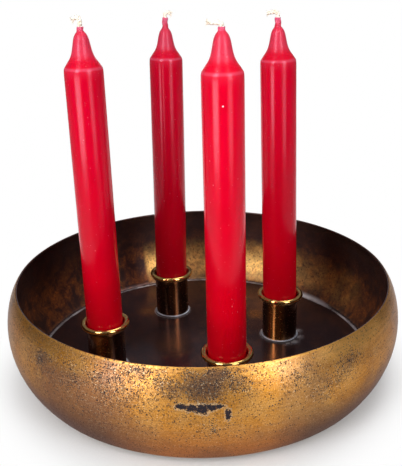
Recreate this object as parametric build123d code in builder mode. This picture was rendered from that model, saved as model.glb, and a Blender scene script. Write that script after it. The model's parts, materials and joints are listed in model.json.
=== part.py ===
# Advent candle holder: a spun brass bowl with four screwed-in candle cups, four stick candles and felt pads.
# Millimetres, +Z up. The origin is on the table, under the middle of the bowl.

import os
from math import cos, radians, sin

from build123d import *

# Bowl: one spun sheet with a flat base, a bulging wall and a drawn-in rim
bowl_sheet = 1.2
base_flat_radius = 105.2
base_corner_radius = 6.0
base_corner_angle = 53.1
belly_radius = 51.0
belly_angle = 56.2
shoulder_radius = 26.7
shoulder_angle = 18.2
rim_rounding_share = 0.42

# Candles: tapered stick candles with a slimmer foot, a drawn tip, a wax-dipped neck and a braided wick
candle_diameter = 21.9
candle_fit_diameter = 20.9
candle_foot_diameter = 20.0
candle_shoulder_diameter = 21.25
candle_shoulder_height = 177.2
candle_foot_chamfer = 0.8
candle_shoulder_chamfer = 0.5
tip_height = 18.3
tip_radius_shares = (0.81, 0.597, 0.482, 0.432)
tip_height_shares = (0.118, 0.295, 0.52, 0.67)
wax_neck_diameter = 3.4
wax_neck_height = 6.5
wick_diameter = 2.2
wick_clearance = 0.05
wick_rise = 3.0
wick_bend_radius = 1.5
wick_end_length = 5.2

# Cups: rolled tubes on a square, a little off the middle of the bowl
cup_circle_radius = 58.4
cup_group_shift_x = -3.2
cup_group_shift_y = -3.0
first_cup_angle = 45.0
cup_height = 31.6
tube_wall = 0.6
candle_clearance = 0.4
bead_section_diameter = 3.4
bead_overhang = 3.4
bead_curl_angle = 280.0
flare_height = 4.0

# Foot of a cup: a brazed-in tapped plug and a rounded ring round the tube
plug_thickness = 5.0
braze_gap = 0.05
foot_ring_width = 1.2
foot_ring_height = 1.3
foot_ring_rounding_share = 0.8

# Fixing from below: a domed screw and a washer for each cup
screw_diameter = 4.0
screw_length = 6.0
screw_head_diameter = 7.6
screw_head_height = 2.2
screw_head_rounding_share = 0.6
recess_length_share = 0.55
recess_width_share = 0.14
recess_depth_share = 0.5
thread_gap = 0.04
screw_hole_clearance = 0.4
washer_diameter = 10.0
washer_thickness = 0.8
washer_bore_clearance = 0.3

# Felt pads keep the screw heads off the table
screw_to_table = 0.5
pad_diameter = 18.0
pad_edge_inset = 9.0
pad_edge_rounding = 0.6
pad_count = 4

# How each candle stands, in the order of the cups: angles in degrees, sizes as shares of the nominal ones
candle_stance = {
    "right": {"lean": 1.55, "lean_way": 200.4, "length_share": 0.995, "neck_share": 0.82},
    "rear": {"lean": 0.63, "lean_way": 30.4, "length_share": 0.985, "neck_share": 1.0},
    "left": {"lean": 0.34, "lean_way": 216.8, "length_share": 1.007, "neck_share": 0.4},
    "front": {"lean": 0.47, "lean_way": 205.3, "length_share": 1.015, "neck_share": 0.36},
}
wick_curl = {
    "right": {"way": 207.6, "rise_share": 0.4, "bend": 95.0, "end_share": 0.75},
    "rear": {"way": 27.6, "rise_share": 0.35, "bend": 112.0, "end_share": 0.3},
    "left": {"way": 207.6, "rise_share": 1.0, "bend": 118.0, "end_share": 0.3},
    "front": {"way": 207.6, "rise_share": 0.05, "bend": 86.0, "end_share": 1.0},
}
lean_pivot_share = 0.7
seat_gap = 0.03
overrun = 2.0

# Heights and radii that follow from the sizes above
pad_thickness = screw_to_table + screw_head_height + washer_thickness
floor_top = pad_thickness + bowl_sheet
seat_height = floor_top + plug_thickness
tube_inner_radius = candle_fit_diameter / 2 + candle_clearance
tube_outer_radius = tube_inner_radius + tube_wall
bead_radius = bead_section_diameter / 2
bead_hollow_radius = bead_radius - tube_wall
bead_centre_radius = tube_outer_radius + bead_overhang - bead_radius
bead_centre_height = floor_top + cup_height - bead_radius
straight_top = bead_centre_height - flare_height
screw_radius = screw_diameter / 2
screw_hole_radius = screw_radius + screw_hole_clearance / 2
lean_pivot_height = (straight_top - seat_height) * lean_pivot_share

cup_names = list(candle_stance)
cup_angles = [first_cup_angle + 360 / len(cup_names) * turn for turn in range(len(cup_names))]

os.makedirs("parts", exist_ok=True)


def keep(piece, name):
    piece.part.label = name
    export_step(piece.part, f"parts/{name}.step")


def cup_centre(angle):
    x = cup_group_shift_x + cup_circle_radius * cos(radians(angle))
    y = cup_group_shift_y + cup_circle_radius * sin(radians(angle))
    return x, y


def section_through(x, y):
    return Plane(origin=(x, y, 0), x_dir=(1, 0, 0), z_dir=(0, -1, 0))


def upright_axis(x, y):
    return Axis((x, y, 0), (0, 0, 1))


# Bowl
with BuildPart() as bowl:
    with BuildSketch(Plane.XZ):
        with BuildLine():
            corner = JernArc((base_flat_radius, pad_thickness), (1, 0), base_corner_radius, base_corner_angle)
            belly = JernArc(corner @ 1, corner % 1, belly_radius, belly_angle)
            shoulder = JernArc(belly @ 1, belly % 1, shoulder_radius, shoulder_angle)
            inner_corner = JernArc(
                (base_flat_radius, floor_top), (1, 0), base_corner_radius - bowl_sheet, base_corner_angle
            )
            inner_belly = JernArc(inner_corner @ 1, inner_corner % 1, belly_radius - bowl_sheet, belly_angle)
            inner_shoulder = JernArc(
                inner_belly @ 1, inner_belly % 1, shoulder_radius - bowl_sheet, shoulder_angle
            )
            Line(shoulder @ 1, inner_shoulder @ 1)
            Polyline(inner_corner @ 0, (0, floor_top), (0, pad_thickness), corner @ 0)
        make_face()
    revolve(axis=Axis.Z)
    rim_edges = bowl.edges().filter_by(GeomType.CIRCLE).group_by(Axis.Z)[-2:]
    fillet([edge for group in rim_edges for edge in group], bowl_sheet * rim_rounding_share)
    with BuildSketch(Plane.XY.offset(pad_thickness - overrun)):
        with Locations(*[cup_centre(angle) for angle in cup_angles]):
            Circle(screw_hole_radius)
    extrude(amount=bowl_sheet + 2 * overrun, mode=Mode.SUBTRACT)
keep(bowl, "bowl")

# Felt pads under the edge of the base, between the cups
pad_circle_radius = base_flat_radius - pad_edge_inset - pad_diameter / 2
for index in range(pad_count):
    pad_angle = 360 / pad_count * index
    with BuildPart() as felt_pad:
        with BuildSketch(Plane.XY):
            with PolarLocations(pad_circle_radius, 1, start_angle=pad_angle):
                Circle(pad_diameter / 2)
        extrude(amount=pad_thickness)
        fillet(felt_pad.edges().group_by(Axis.Z)[0], pad_edge_rounding)
    keep(felt_pad, f"felt_pad_{index + 1}")

# Cups with their fixings
for name, angle in zip(cup_names, cup_angles):
    x, y = cup_centre(angle)
    axis = upright_axis(x, y)

    with BuildPart() as candle_cup:
        with BuildSketch(section_through(x, y)):
            with BuildLine():
                bead_centre = (bead_centre_radius, bead_centre_height)
                bead_outside = CenterArc(bead_centre, bead_radius, 180, -bead_curl_angle)
                bead_inside = CenterArc(bead_centre, bead_hollow_radius, 180, -bead_curl_angle)
                Line(bead_outside @ 1, bead_inside @ 1)
                Polyline(
                    bead_outside @ 0,
                    (tube_inner_radius, straight_top),
                    (tube_inner_radius, floor_top),
                    (tube_outer_radius, floor_top),
                    (tube_outer_radius, straight_top),
                    bead_inside @ 0,
                )
            make_face()
        revolve(axis=axis)
    keep(candle_cup, f"candle_cup_{name}")

    with BuildPart() as cup_plug:
        with BuildSketch(Plane.XY.offset(floor_top)):
            with Locations((x, y)):
                Circle(tube_inner_radius - braze_gap)
                Circle(screw_radius + thread_gap, mode=Mode.SUBTRACT)
        extrude(amount=plug_thickness)
    keep(cup_plug, f"cup_plug_{name}")

    with BuildPart() as cup_foot_ring:
        with BuildSketch(Plane.XY.offset(floor_top)):
            with Locations((x, y)):
                Circle(tube_outer_radius + foot_ring_width)
                Circle(tube_outer_radius + braze_gap, mode=Mode.SUBTRACT)
        extrude(amount=foot_ring_height)
        outer_top = cup_foot_ring.edges().group_by(Axis.Z)[-1].sort_by(SortBy.LENGTH)[-1]
        fillet(outer_top, min(foot_ring_height, foot_ring_width) * foot_ring_rounding_share)
    keep(cup_foot_ring, f"cup_foot_ring_{name}")

    with BuildPart() as cup_washer:
        with BuildSketch(Plane.XY.offset(pad_thickness - washer_thickness)):
            with Locations((x, y)):
                Circle(washer_diameter / 2)
                Circle(screw_radius + washer_bore_clearance / 2, mode=Mode.SUBTRACT)
        extrude(amount=washer_thickness)
    keep(cup_washer, f"cup_washer_{name}")

    with BuildPart() as cup_screw:
        under_head = Plane.XY.offset(pad_thickness - washer_thickness)
        with BuildSketch(under_head):
            with Locations((x, y)):
                Circle(screw_head_diameter / 2)
        extrude(amount=-screw_head_height)
        fillet(cup_screw.edges().group_by(Axis.Z)[0], screw_head_height * screw_head_rounding_share)
        with BuildSketch(under_head):
            with Locations((x, y)):
                Circle(screw_radius)
        extrude(amount=screw_length)
        with BuildSketch(under_head.offset(-screw_head_height)):
            with Locations((x, y)):
                recess_length = screw_head_diameter * recess_length_share
                recess_width = screw_head_diameter * recess_width_share
                Rectangle(recess_length, recess_width)
                Rectangle(recess_width, recess_length)
        extrude(amount=screw_head_height * recess_depth_share, mode=Mode.SUBTRACT)
    keep(cup_screw, f"cup_screw_{name}")

# Candles and wicks, each on its own leaning axis
for name, angle in zip(cup_names, cup_angles):
    stance = candle_stance[name]
    curl = wick_curl[name]
    lean = radians(stance["lean"])
    lean_way = radians(stance["lean_way"])
    wick_way = radians(curl["way"])
    x, y = cup_centre(angle)
    lean_axis = Vector(sin(lean) * cos(lean_way), sin(lean) * sin(lean_way), cos(lean))
    foot_radius = candle_foot_diameter / 2
    foot_height = seat_height + seat_gap + foot_radius * sin(lean)
    pivot = Vector(x, y, seat_height + lean_pivot_height)
    foot = pivot - lean_axis * ((pivot.Z - foot_height) / lean_axis.Z)
    across = Vector(cos(wick_way), sin(wick_way), 0)
    section = Plane(origin=foot, x_dir=across - lean_axis * across.dot(lean_axis), z_dir=across.cross(lean_axis))

    mouth_height = bead_centre_height - seat_height
    shoulder_height = candle_shoulder_height * stance["length_share"]
    shoulder_edge_radius = candle_shoulder_diameter / 2
    tip_top = shoulder_height + tip_height
    neck_radius = wax_neck_diameter / 2
    neck_top = tip_top + wax_neck_height * stance["neck_share"]
    bore_radius = wick_diameter / 2 + wick_clearance
    tip_points = [
        (shoulder_edge_radius * radius_share, shoulder_height + tip_height * height_share)
        for radius_share, height_share in zip(tip_radius_shares, tip_height_shares)
    ]

    with BuildPart() as candle:
        with BuildSketch(section):
            with BuildLine():
                side = Polyline(
                    (bore_radius, 0),
                    (foot_radius - candle_foot_chamfer, 0),
                    (foot_radius, candle_foot_chamfer),
                    (candle_fit_diameter / 2, straight_top - seat_height),
                    (candle_diameter / 2, mouth_height),
                    (shoulder_edge_radius, shoulder_height - candle_shoulder_chamfer),
                    (shoulder_edge_radius - candle_shoulder_chamfer, shoulder_height),
                    tip_points[0],
                )
                flare = ThreePointArc(side @ 1, tip_points[1], tip_points[2])
                taper = Line(flare @ 1, tip_points[3])
                dome = TangentArc(taper @ 1, (neck_radius, tip_top), tangent=taper % 1)
                Polyline(dome @ 1, (neck_radius, neck_top), (bore_radius, neck_top), side @ 0)
            make_face()
        revolve(axis=Axis(foot, lean_axis))
    keep(candle, f"candle_{name}")

    with BuildPart() as wick:
        with BuildLine(section):
            straight = Line((0, 0), (0, neck_top + wick_rise * curl["rise_share"]))
            bend = JernArc(straight @ 1, (0, 1), wick_bend_radius, -curl["bend"])
            Line(bend @ 1, bend @ 1 + (bend % 1) * (wick_end_length * curl["end_share"]))
        with BuildSketch(Plane(origin=foot, x_dir=section.x_dir, z_dir=lean_axis)):
            Circle(wick_diameter / 2)
        sweep()
    keep(wick, f"wick_{name}")
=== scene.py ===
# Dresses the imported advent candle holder: an aged brass bowl with four bronzed cups, red stick candles with
# braided wicks, felt feet, and a plain studio around it. All lengths are in metres.
import json
import math
import random

import bpy
from mathutils import Matrix, Vector

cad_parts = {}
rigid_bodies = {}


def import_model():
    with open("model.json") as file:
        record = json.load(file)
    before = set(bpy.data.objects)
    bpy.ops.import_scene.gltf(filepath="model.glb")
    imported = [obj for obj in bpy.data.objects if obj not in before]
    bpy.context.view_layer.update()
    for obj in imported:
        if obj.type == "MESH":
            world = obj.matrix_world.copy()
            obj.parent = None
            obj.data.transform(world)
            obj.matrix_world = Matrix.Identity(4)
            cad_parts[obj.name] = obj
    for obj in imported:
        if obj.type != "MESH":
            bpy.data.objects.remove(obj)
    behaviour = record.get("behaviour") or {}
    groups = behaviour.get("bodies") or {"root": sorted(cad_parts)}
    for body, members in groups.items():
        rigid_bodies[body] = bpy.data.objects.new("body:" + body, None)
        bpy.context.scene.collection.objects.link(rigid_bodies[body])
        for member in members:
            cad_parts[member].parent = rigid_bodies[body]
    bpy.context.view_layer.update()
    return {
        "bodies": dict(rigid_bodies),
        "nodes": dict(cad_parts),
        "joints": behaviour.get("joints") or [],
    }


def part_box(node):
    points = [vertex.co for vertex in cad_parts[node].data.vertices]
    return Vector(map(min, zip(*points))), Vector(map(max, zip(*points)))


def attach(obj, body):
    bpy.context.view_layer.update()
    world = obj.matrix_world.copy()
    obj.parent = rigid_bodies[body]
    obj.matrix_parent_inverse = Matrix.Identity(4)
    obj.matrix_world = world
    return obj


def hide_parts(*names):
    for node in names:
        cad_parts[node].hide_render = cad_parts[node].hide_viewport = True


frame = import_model()
cadNodes = frame["nodes"]
mm = 0.001
liftAxis = {joint["child"]: Vector(joint["axis"]).normalized() for joint in frame["joints"]}
candleNames = [body.split("_")[1] for body in frame["bodies"] if body.startswith("candle_")]
print("frame loaded:", len(cadNodes), "nodes,", len(candleNames), "candles")


# Selecting and editing helpers

def deselectAll():
    bpy.ops.object.select_all(action="DESELECT")


def makeActive(piece):
    deselectAll()
    piece.select_set(True)
    bpy.context.view_layer.objects.active = piece


def leaveEdit():
    bpy.ops.object.mode_set(mode="OBJECT")


def pickFaces(piece, wanted):
    makeActive(piece)
    bpy.ops.object.mode_set(mode="EDIT")
    bpy.ops.mesh.select_mode(type="FACE")
    bpy.ops.mesh.select_all(action="DESELECT")
    leaveEdit()
    for face in piece.data.polygons:
        face.select = wanted(face)
    bpy.ops.object.mode_set(mode="EDIT")


def applyModifier(piece, kind, **settings):
    makeActive(piece)
    modifier = piece.modifiers.new(kind.lower(), kind)
    for key, value in settings.items():
        setattr(modifier, key, value)
    bpy.ops.object.modifier_apply(modifier=modifier.name)


def pushOut(piece, name, grain, strength, middle):
    texture = bpy.data.textures.new(name, "CLOUDS")
    texture.noise_scale = grain
    applyModifier(
        piece, "DISPLACE", texture=texture, strength=strength, mid_level=middle, texture_coords="GLOBAL"
    )


def settlePlace(piece):
    makeActive(piece)
    bpy.ops.object.transform_apply(location=True, rotation=True, scale=True)


def joinPieces(pieces, name):
    deselectAll()
    for piece in pieces:
        piece.select_set(True)
    bpy.context.view_layer.objects.active = pieces[0]
    bpy.ops.object.join()
    whole = bpy.context.object
    whole.name = name
    whole.data.name = name
    return whole


def smoothShade(piece, angle):
    makeActive(piece)
    bpy.ops.object.shade_smooth_by_angle(angle=math.radians(angle))


def coverWith(piece, material):
    piece.data.materials.clear()
    piece.data.materials.append(material)


def wayOf(turn):
    return Vector((math.cos(math.radians(turn)), math.sin(math.radians(turn)), 0))


# Shader node helpers

def isSocket(value):
    return isinstance(value, bpy.types.NodeSocket)


def fillInputs(node, inputs):
    for key, value in inputs.items():
        if isSocket(value):
            node.id_data.links.new(value, node.inputs[key])
        else:
            node.inputs[key].default_value = value


def addNode(kind, inputs, **settings):
    # a node joins the tree of the sockets that feed it
    tree = next(value.id_data for value in inputs.values() if isSocket(value))
    node = tree.nodes.new(kind)
    for key, value in settings.items():
        setattr(node, key, value)
    fillInputs(node, inputs)
    return node


def sums(operation, first, second=0.0, clamp=False):
    node = addNode("ShaderNodeMath", {0: first, 1: second}, operation=operation, use_clamp=clamp)
    return node.outputs[0]


def plus(first, second, clamp=False):
    return sums("ADD", first, second, clamp)


def minus(first, second):
    return sums("SUBTRACT", first, second)


def opposite(mask):
    return minus(1.0, mask)


def times(*factors):
    product = factors[0]
    for factor in factors[1:]:
        product = sums("MULTIPLY", product, factor)
    return product


def withShare(mask, start, share):
    # a start value plus a share of a mask
    return plus(start, times(mask, share))


def strongest(masks):
    most = masks[0]
    for mask in masks[1:]:
        most = sums("MAXIMUM", most, mask)
    return most


def vectorNode(operation, first, second=None, output=0):
    inputs = {0: first} if second is None else {0: first, 1: second}
    return addNode("ShaderNodeVectorMath", inputs, operation=operation).outputs[output]


def along(first, second):
    return vectorNode("DOT_PRODUCT", first, second, "Value")


def apart(first, second):
    return vectorNode("DISTANCE", first, second, "Value")


def flattened(vector):
    return vectorNode("MULTIPLY", vector, (1, 1, 0))


def heightOf(vector):
    return addNode("ShaderNodeSeparateXYZ", {0: vector}).outputs["Z"]


def blendColours(factor, first, second):
    return addNode("ShaderNodeMix", {0: factor, 6: first, 7: second}, data_type="RGBA").outputs[2]


def ramp(value, low, high, start=0.0, end=1.0):
    inputs = {"Value": value, "From Min": low, "From Max": high, "To Min": start, "To Max": end}
    return addNode("ShaderNodeMapRange", inputs, interpolation_type="SMOOTHSTEP").outputs[0]


def noise(vector, scale, detail, roughness, distortion=0.0):
    inputs = {"Vector": vector, "Scale": scale, "Detail": detail, "Roughness": roughness}
    return addNode("ShaderNodeTexNoise", {**inputs, "Distortion": distortion}).outputs["Fac"]


def wander(vector, scale, detail, reach):
    # a small random push in any direction
    push = addNode("ShaderNodeTexNoise", {"Vector": vector, "Scale": scale, "Detail": detail})
    push = vectorNode("SUBTRACT", push.outputs["Color"], (0.5, 0.5, 0.5))
    return vectorNode("MULTIPLY", push, (reach, reach, reach))


def stretched(vector, scale):
    return addNode("ShaderNodeMapping", {"Vector": vector, "Scale": scale}).outputs[0]


def bumped(relief, strength, depth):
    return addNode("ShaderNodeBump", {"Height": relief, "Strength": strength, "Distance": depth}).outputs[0]


def startMaterial(name):
    material = bpy.data.materials.new(name)
    material.use_nodes = True
    nodes = material.node_tree.nodes
    return material, nodes["Principled BSDF"], nodes.new("ShaderNodeTexCoord").outputs


def setShader(shader, finish, colour, roughness, relief):
    fillInputs(shader, {
        "Base Color": colour, "Roughness": roughness, "Normal": bumped(relief, *finish["bump"]),
        **finish["shader"],
    })


def startGroup(name, inputs, outputs):
    group = bpy.data.node_groups.new(name, "ShaderNodeTree")
    kinds = {"vector": "NodeSocketVector", "value": "NodeSocketFloat"}
    for label, kind in inputs.items():
        group.interface.new_socket(label, in_out="INPUT", socket_type=kinds[kind])
    for label, kind in outputs.items():
        group.interface.new_socket(label, in_out="OUTPUT", socket_type=kinds[kind])
    return group, group.nodes.new("NodeGroupInput").outputs, group.nodes.new("NodeGroupOutput").inputs


def useGroup(group, inputs):
    return addNode("ShaderNodeGroup", inputs, node_tree=group).outputs


# Shared surface effects

spotShape = {
    # the push that makes the grains ragged, in cells
    "driftScale": 1.3, "driftDetail": 2.0, "drift": 1.5,
    # smallest grain and how much larger the others get, in cells
    "smallest": 0.14, "larger": 0.4,
    "edge": 0.08, "chanceEdge": 0.02,
}


def makePatinaSpots():
    # separate corroded grains of mixed sizes: the share of them that shows follows the Cover input
    shape = spotShape
    group, given, wanted = startGroup(
        "patinaSpots", {"Vector": "vector", "Scale": "value", "Cover": "value"}, {"Mask": "value"}
    )
    vector, scale = given["Vector"], given["Scale"]
    scaled = addNode("ShaderNodeVectorMath", {0: vector, 3: scale}, operation="SCALE").outputs[0]
    drift = wander(vector, times(scale, shape["driftScale"]), shape["driftDetail"], shape["drift"])
    ragged = vectorNode("ADD", scaled, drift)
    cells = addNode("ShaderNodeTexVoronoi", {"Vector": ragged, "Scale": 1.0}).outputs
    chance = addNode("ShaderNodeSeparateColor", {0: cells["Color"]}).outputs
    size = withShare(chance["Red"], shape["smallest"], shape["larger"])
    grain = ramp(minus(cells["Distance"], size), -shape["edge"], shape["edge"], 1.0, 0.0)
    luck = minus(given["Cover"], chance["Green"])
    shown = ramp(luck, -shape["chanceEdge"], shape["chanceEdge"])
    group.links.new(times(grain, shown), wanted["Mask"])
    return group


# coarse and hair-fine lines as noise: scale, detail, roughness, share
lineShape = {"lay": (0.06, 0.06, 1.0), "coarse": (1.0, 3.0, 0.6, 0.65), "hair": (3.7, 2.0, 0.5, 0.35)}


def makeSpunLines():
    # fine rings left by spinning and polishing, thin in height and long around the wall
    group, given, wanted = startGroup(
        "spunLines", {"Vector": "vector", "Scale": "value"}, {"Value": "value"}
    )
    thin = stretched(given["Vector"], lineShape["lay"])
    layers = []
    for finer, detail, roughness, share in (lineShape["coarse"], lineShape["hair"]):
        lines = noise(thin, times(given["Scale"], finer), detail, roughness)
        layers.append(times(lines, share))
    group.links.new(plus(*layers), wanted["Value"])
    return group


# slow and quick clouds as noise: scale, detail, roughness, distortion
cloudShape = {"Slow": (1.0, 3.0, 0.55, 0.4), "Quick": (6.0, 4.0, 0.6, 0.0), "contrast": (0.3, 0.7)}


def makeHandling():
    # soft uneven tarnish and finger marks
    group, given, wanted = startGroup(
        "handling", {"Vector": "vector", "Scale": "value"}, {"Slow": "value", "Quick": "value"}
    )
    for label in ("Slow", "Quick"):
        finer, detail, roughness, distortion = cloudShape[label]
        cloud = noise(given["Vector"], times(given["Scale"], finer), detail, roughness, distortion)
        group.links.new(ramp(cloud, *cloudShape["contrast"]), wanted[label])
    return group


patinaSpots = makePatinaSpots()
spunLines = makeSpunLines()
handling = makeHandling()
print("shared effects ready")


def spotMask(vector, scale, cover):
    return useGroup(patinaSpots, {"Vector": vector, "Scale": scale, "Cover": cover})["Mask"]


def lineMask(vector, scale):
    return useGroup(spunLines, {"Vector": vector, "Scale": scale})["Value"]


def cloudMasks(vector, scale):
    return useGroup(handling, {"Vector": vector, "Scale": scale})


def sideMask(outward, sides):
    # sides of a round piece: direction in degrees from +X, full and fading half angles, strength
    lobes = []
    for turn, full, fade, strength in sides:
        near, far = math.cos(math.radians(full)), math.cos(math.radians(fade))
        lobes.append(ramp(along(outward, wayOf(turn)), far, near, 0.0, strength))
    return strongest(lobes)


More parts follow.
